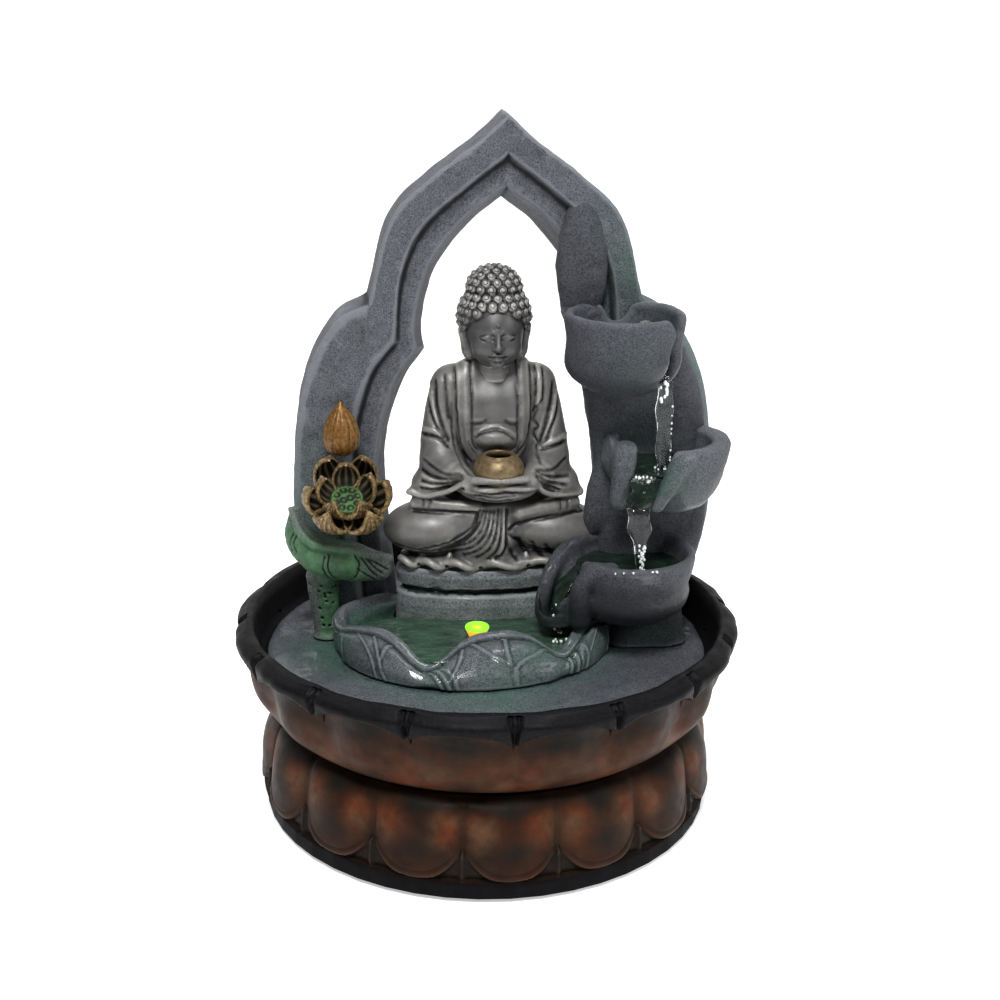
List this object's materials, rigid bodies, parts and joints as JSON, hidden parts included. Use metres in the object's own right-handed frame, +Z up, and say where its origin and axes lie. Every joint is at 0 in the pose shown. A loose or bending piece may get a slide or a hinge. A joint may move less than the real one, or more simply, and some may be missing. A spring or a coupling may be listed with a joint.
{
  "type": "tabletop water fountain",
  "caption": "Indoor fountain: a seated figure under an ogee arch, water spilling down three cups into a lotus pool, over a lotus basin with a pump.",
  "frame": {"origin": "centre of the base on the surface that it stands on", "axes": "+Z up, the figure faces -Y, the cups are on the +X side"},
  "size_m": [0.2078, 0.2078, 0.282],
  "materials": {
    "basin_brown": "painted brown with copper highlights and a black scalloped rim, semi-gloss",
    "tray_black": "black, satin",
    "stone_grey": "cast stone-effect resin, slate grey, speckled and matt",
    "figure_grey": "cast resin, pewter grey satin paint with a dark wash",
    "pond_green": "cast resin, grey with a green airbrushed shade, wet",
    "leaf_green": "cast resin, green paint fading to grey",
    "antique_gold": "antique gold paint with a black wash, satin",
    "pod_green": "green paint",
    "rubber_black": "black rubber",
    "steel": "zinc-plated steel",
    "pump_black": "black moulded plastic",
    "rotor_black": "black moulded plastic over a magnet",
    "dial_white": "white moulded plastic",
    "plug_white": "white moulded plastic",
    "shaft_ceramic": "polished white ceramic",
    "clear_tube": "clear soft tube",
    "lamp_lens": "clear lens lit from below, yellow to green"
  },
  "bodies": {
    "base": {"base_tray": "tray_black", "pedestal_shell": "basin_brown", "water_basin": "basin_brown", "cord_grommet": "rubber_black", "rubber_foot_1": "rubber_black", "rubber_foot_2": "rubber_black", "rubber_foot_3": "rubber_black", "rubber_foot_4": "rubber_black", "base_screw_1": "steel", "base_screw_2": "steel", "base_screw_3": "steel", "base_screw_4": "steel", "pump_housing": "pump_black", "pump_volute": "pump_black", "intake_cover": "pump_black", "pump_shaft": "shaft_ceramic", "shaft_bush_front": "rubber_black", "shaft_bush_rear": "rubber_black", "suction_cup_1": "rubber_black", "suction_cup_2": "rubber_black", "suction_cup_3": "rubber_black", "suction_cup_4": "rubber_black"},
    "rockwork": {"stone_deck": "stone_grey", "lotus_pond": "pond_green", "seat_ledge": "stone_grey", "arch_frame": "stone_grey", "waterfall_column": "stone_grey", "upper_cup": "stone_grey", "middle_cup": "stone_grey", "lower_cup": "stone_grey", "seated_figure": "figure_grey", "alms_bowl": "antique_gold", "lotus_leaf": "leaf_green", "leaf_stem": "leaf_green", "flower_stalk": "leaf_green", "lotus_bud": "antique_gold", "lotus_outer_petals": "antique_gold", "lotus_inner_petals": "antique_gold", "lotus_seed_pod": "pod_green", "water_tube": "clear_tube", "lamp_housing": "pump_black", "lamp_lens": "lamp_lens", "lamp_lead": "rubber_black", "lamp_connector": "plug_white"},
    "impeller": {"impeller_rotor": "rotor_black"},
    "regulator": {"flow_regulator": "dial_white"}
  },
  "joints": [
    {"name": "lift_off", "type": "slide", "parent": "base", "child": "rockwork", "axis": [0, 0, 1], "range_m": [0, 0.06]},
    {"name": "impeller_spin", "type": "hinge", "parent": "base", "child": "impeller", "pos_m": [0.04, 0.012, 0.027], "axis": [1, 0, 0], "continuous": true},
    {"name": "regulator_turn", "type": "hinge", "parent": "base", "child": "regulator", "pos_m": [0.058, 0.012, 0.027], "axis": [1, 0, 0], "range_deg": [-60, 0]}
  ]
}
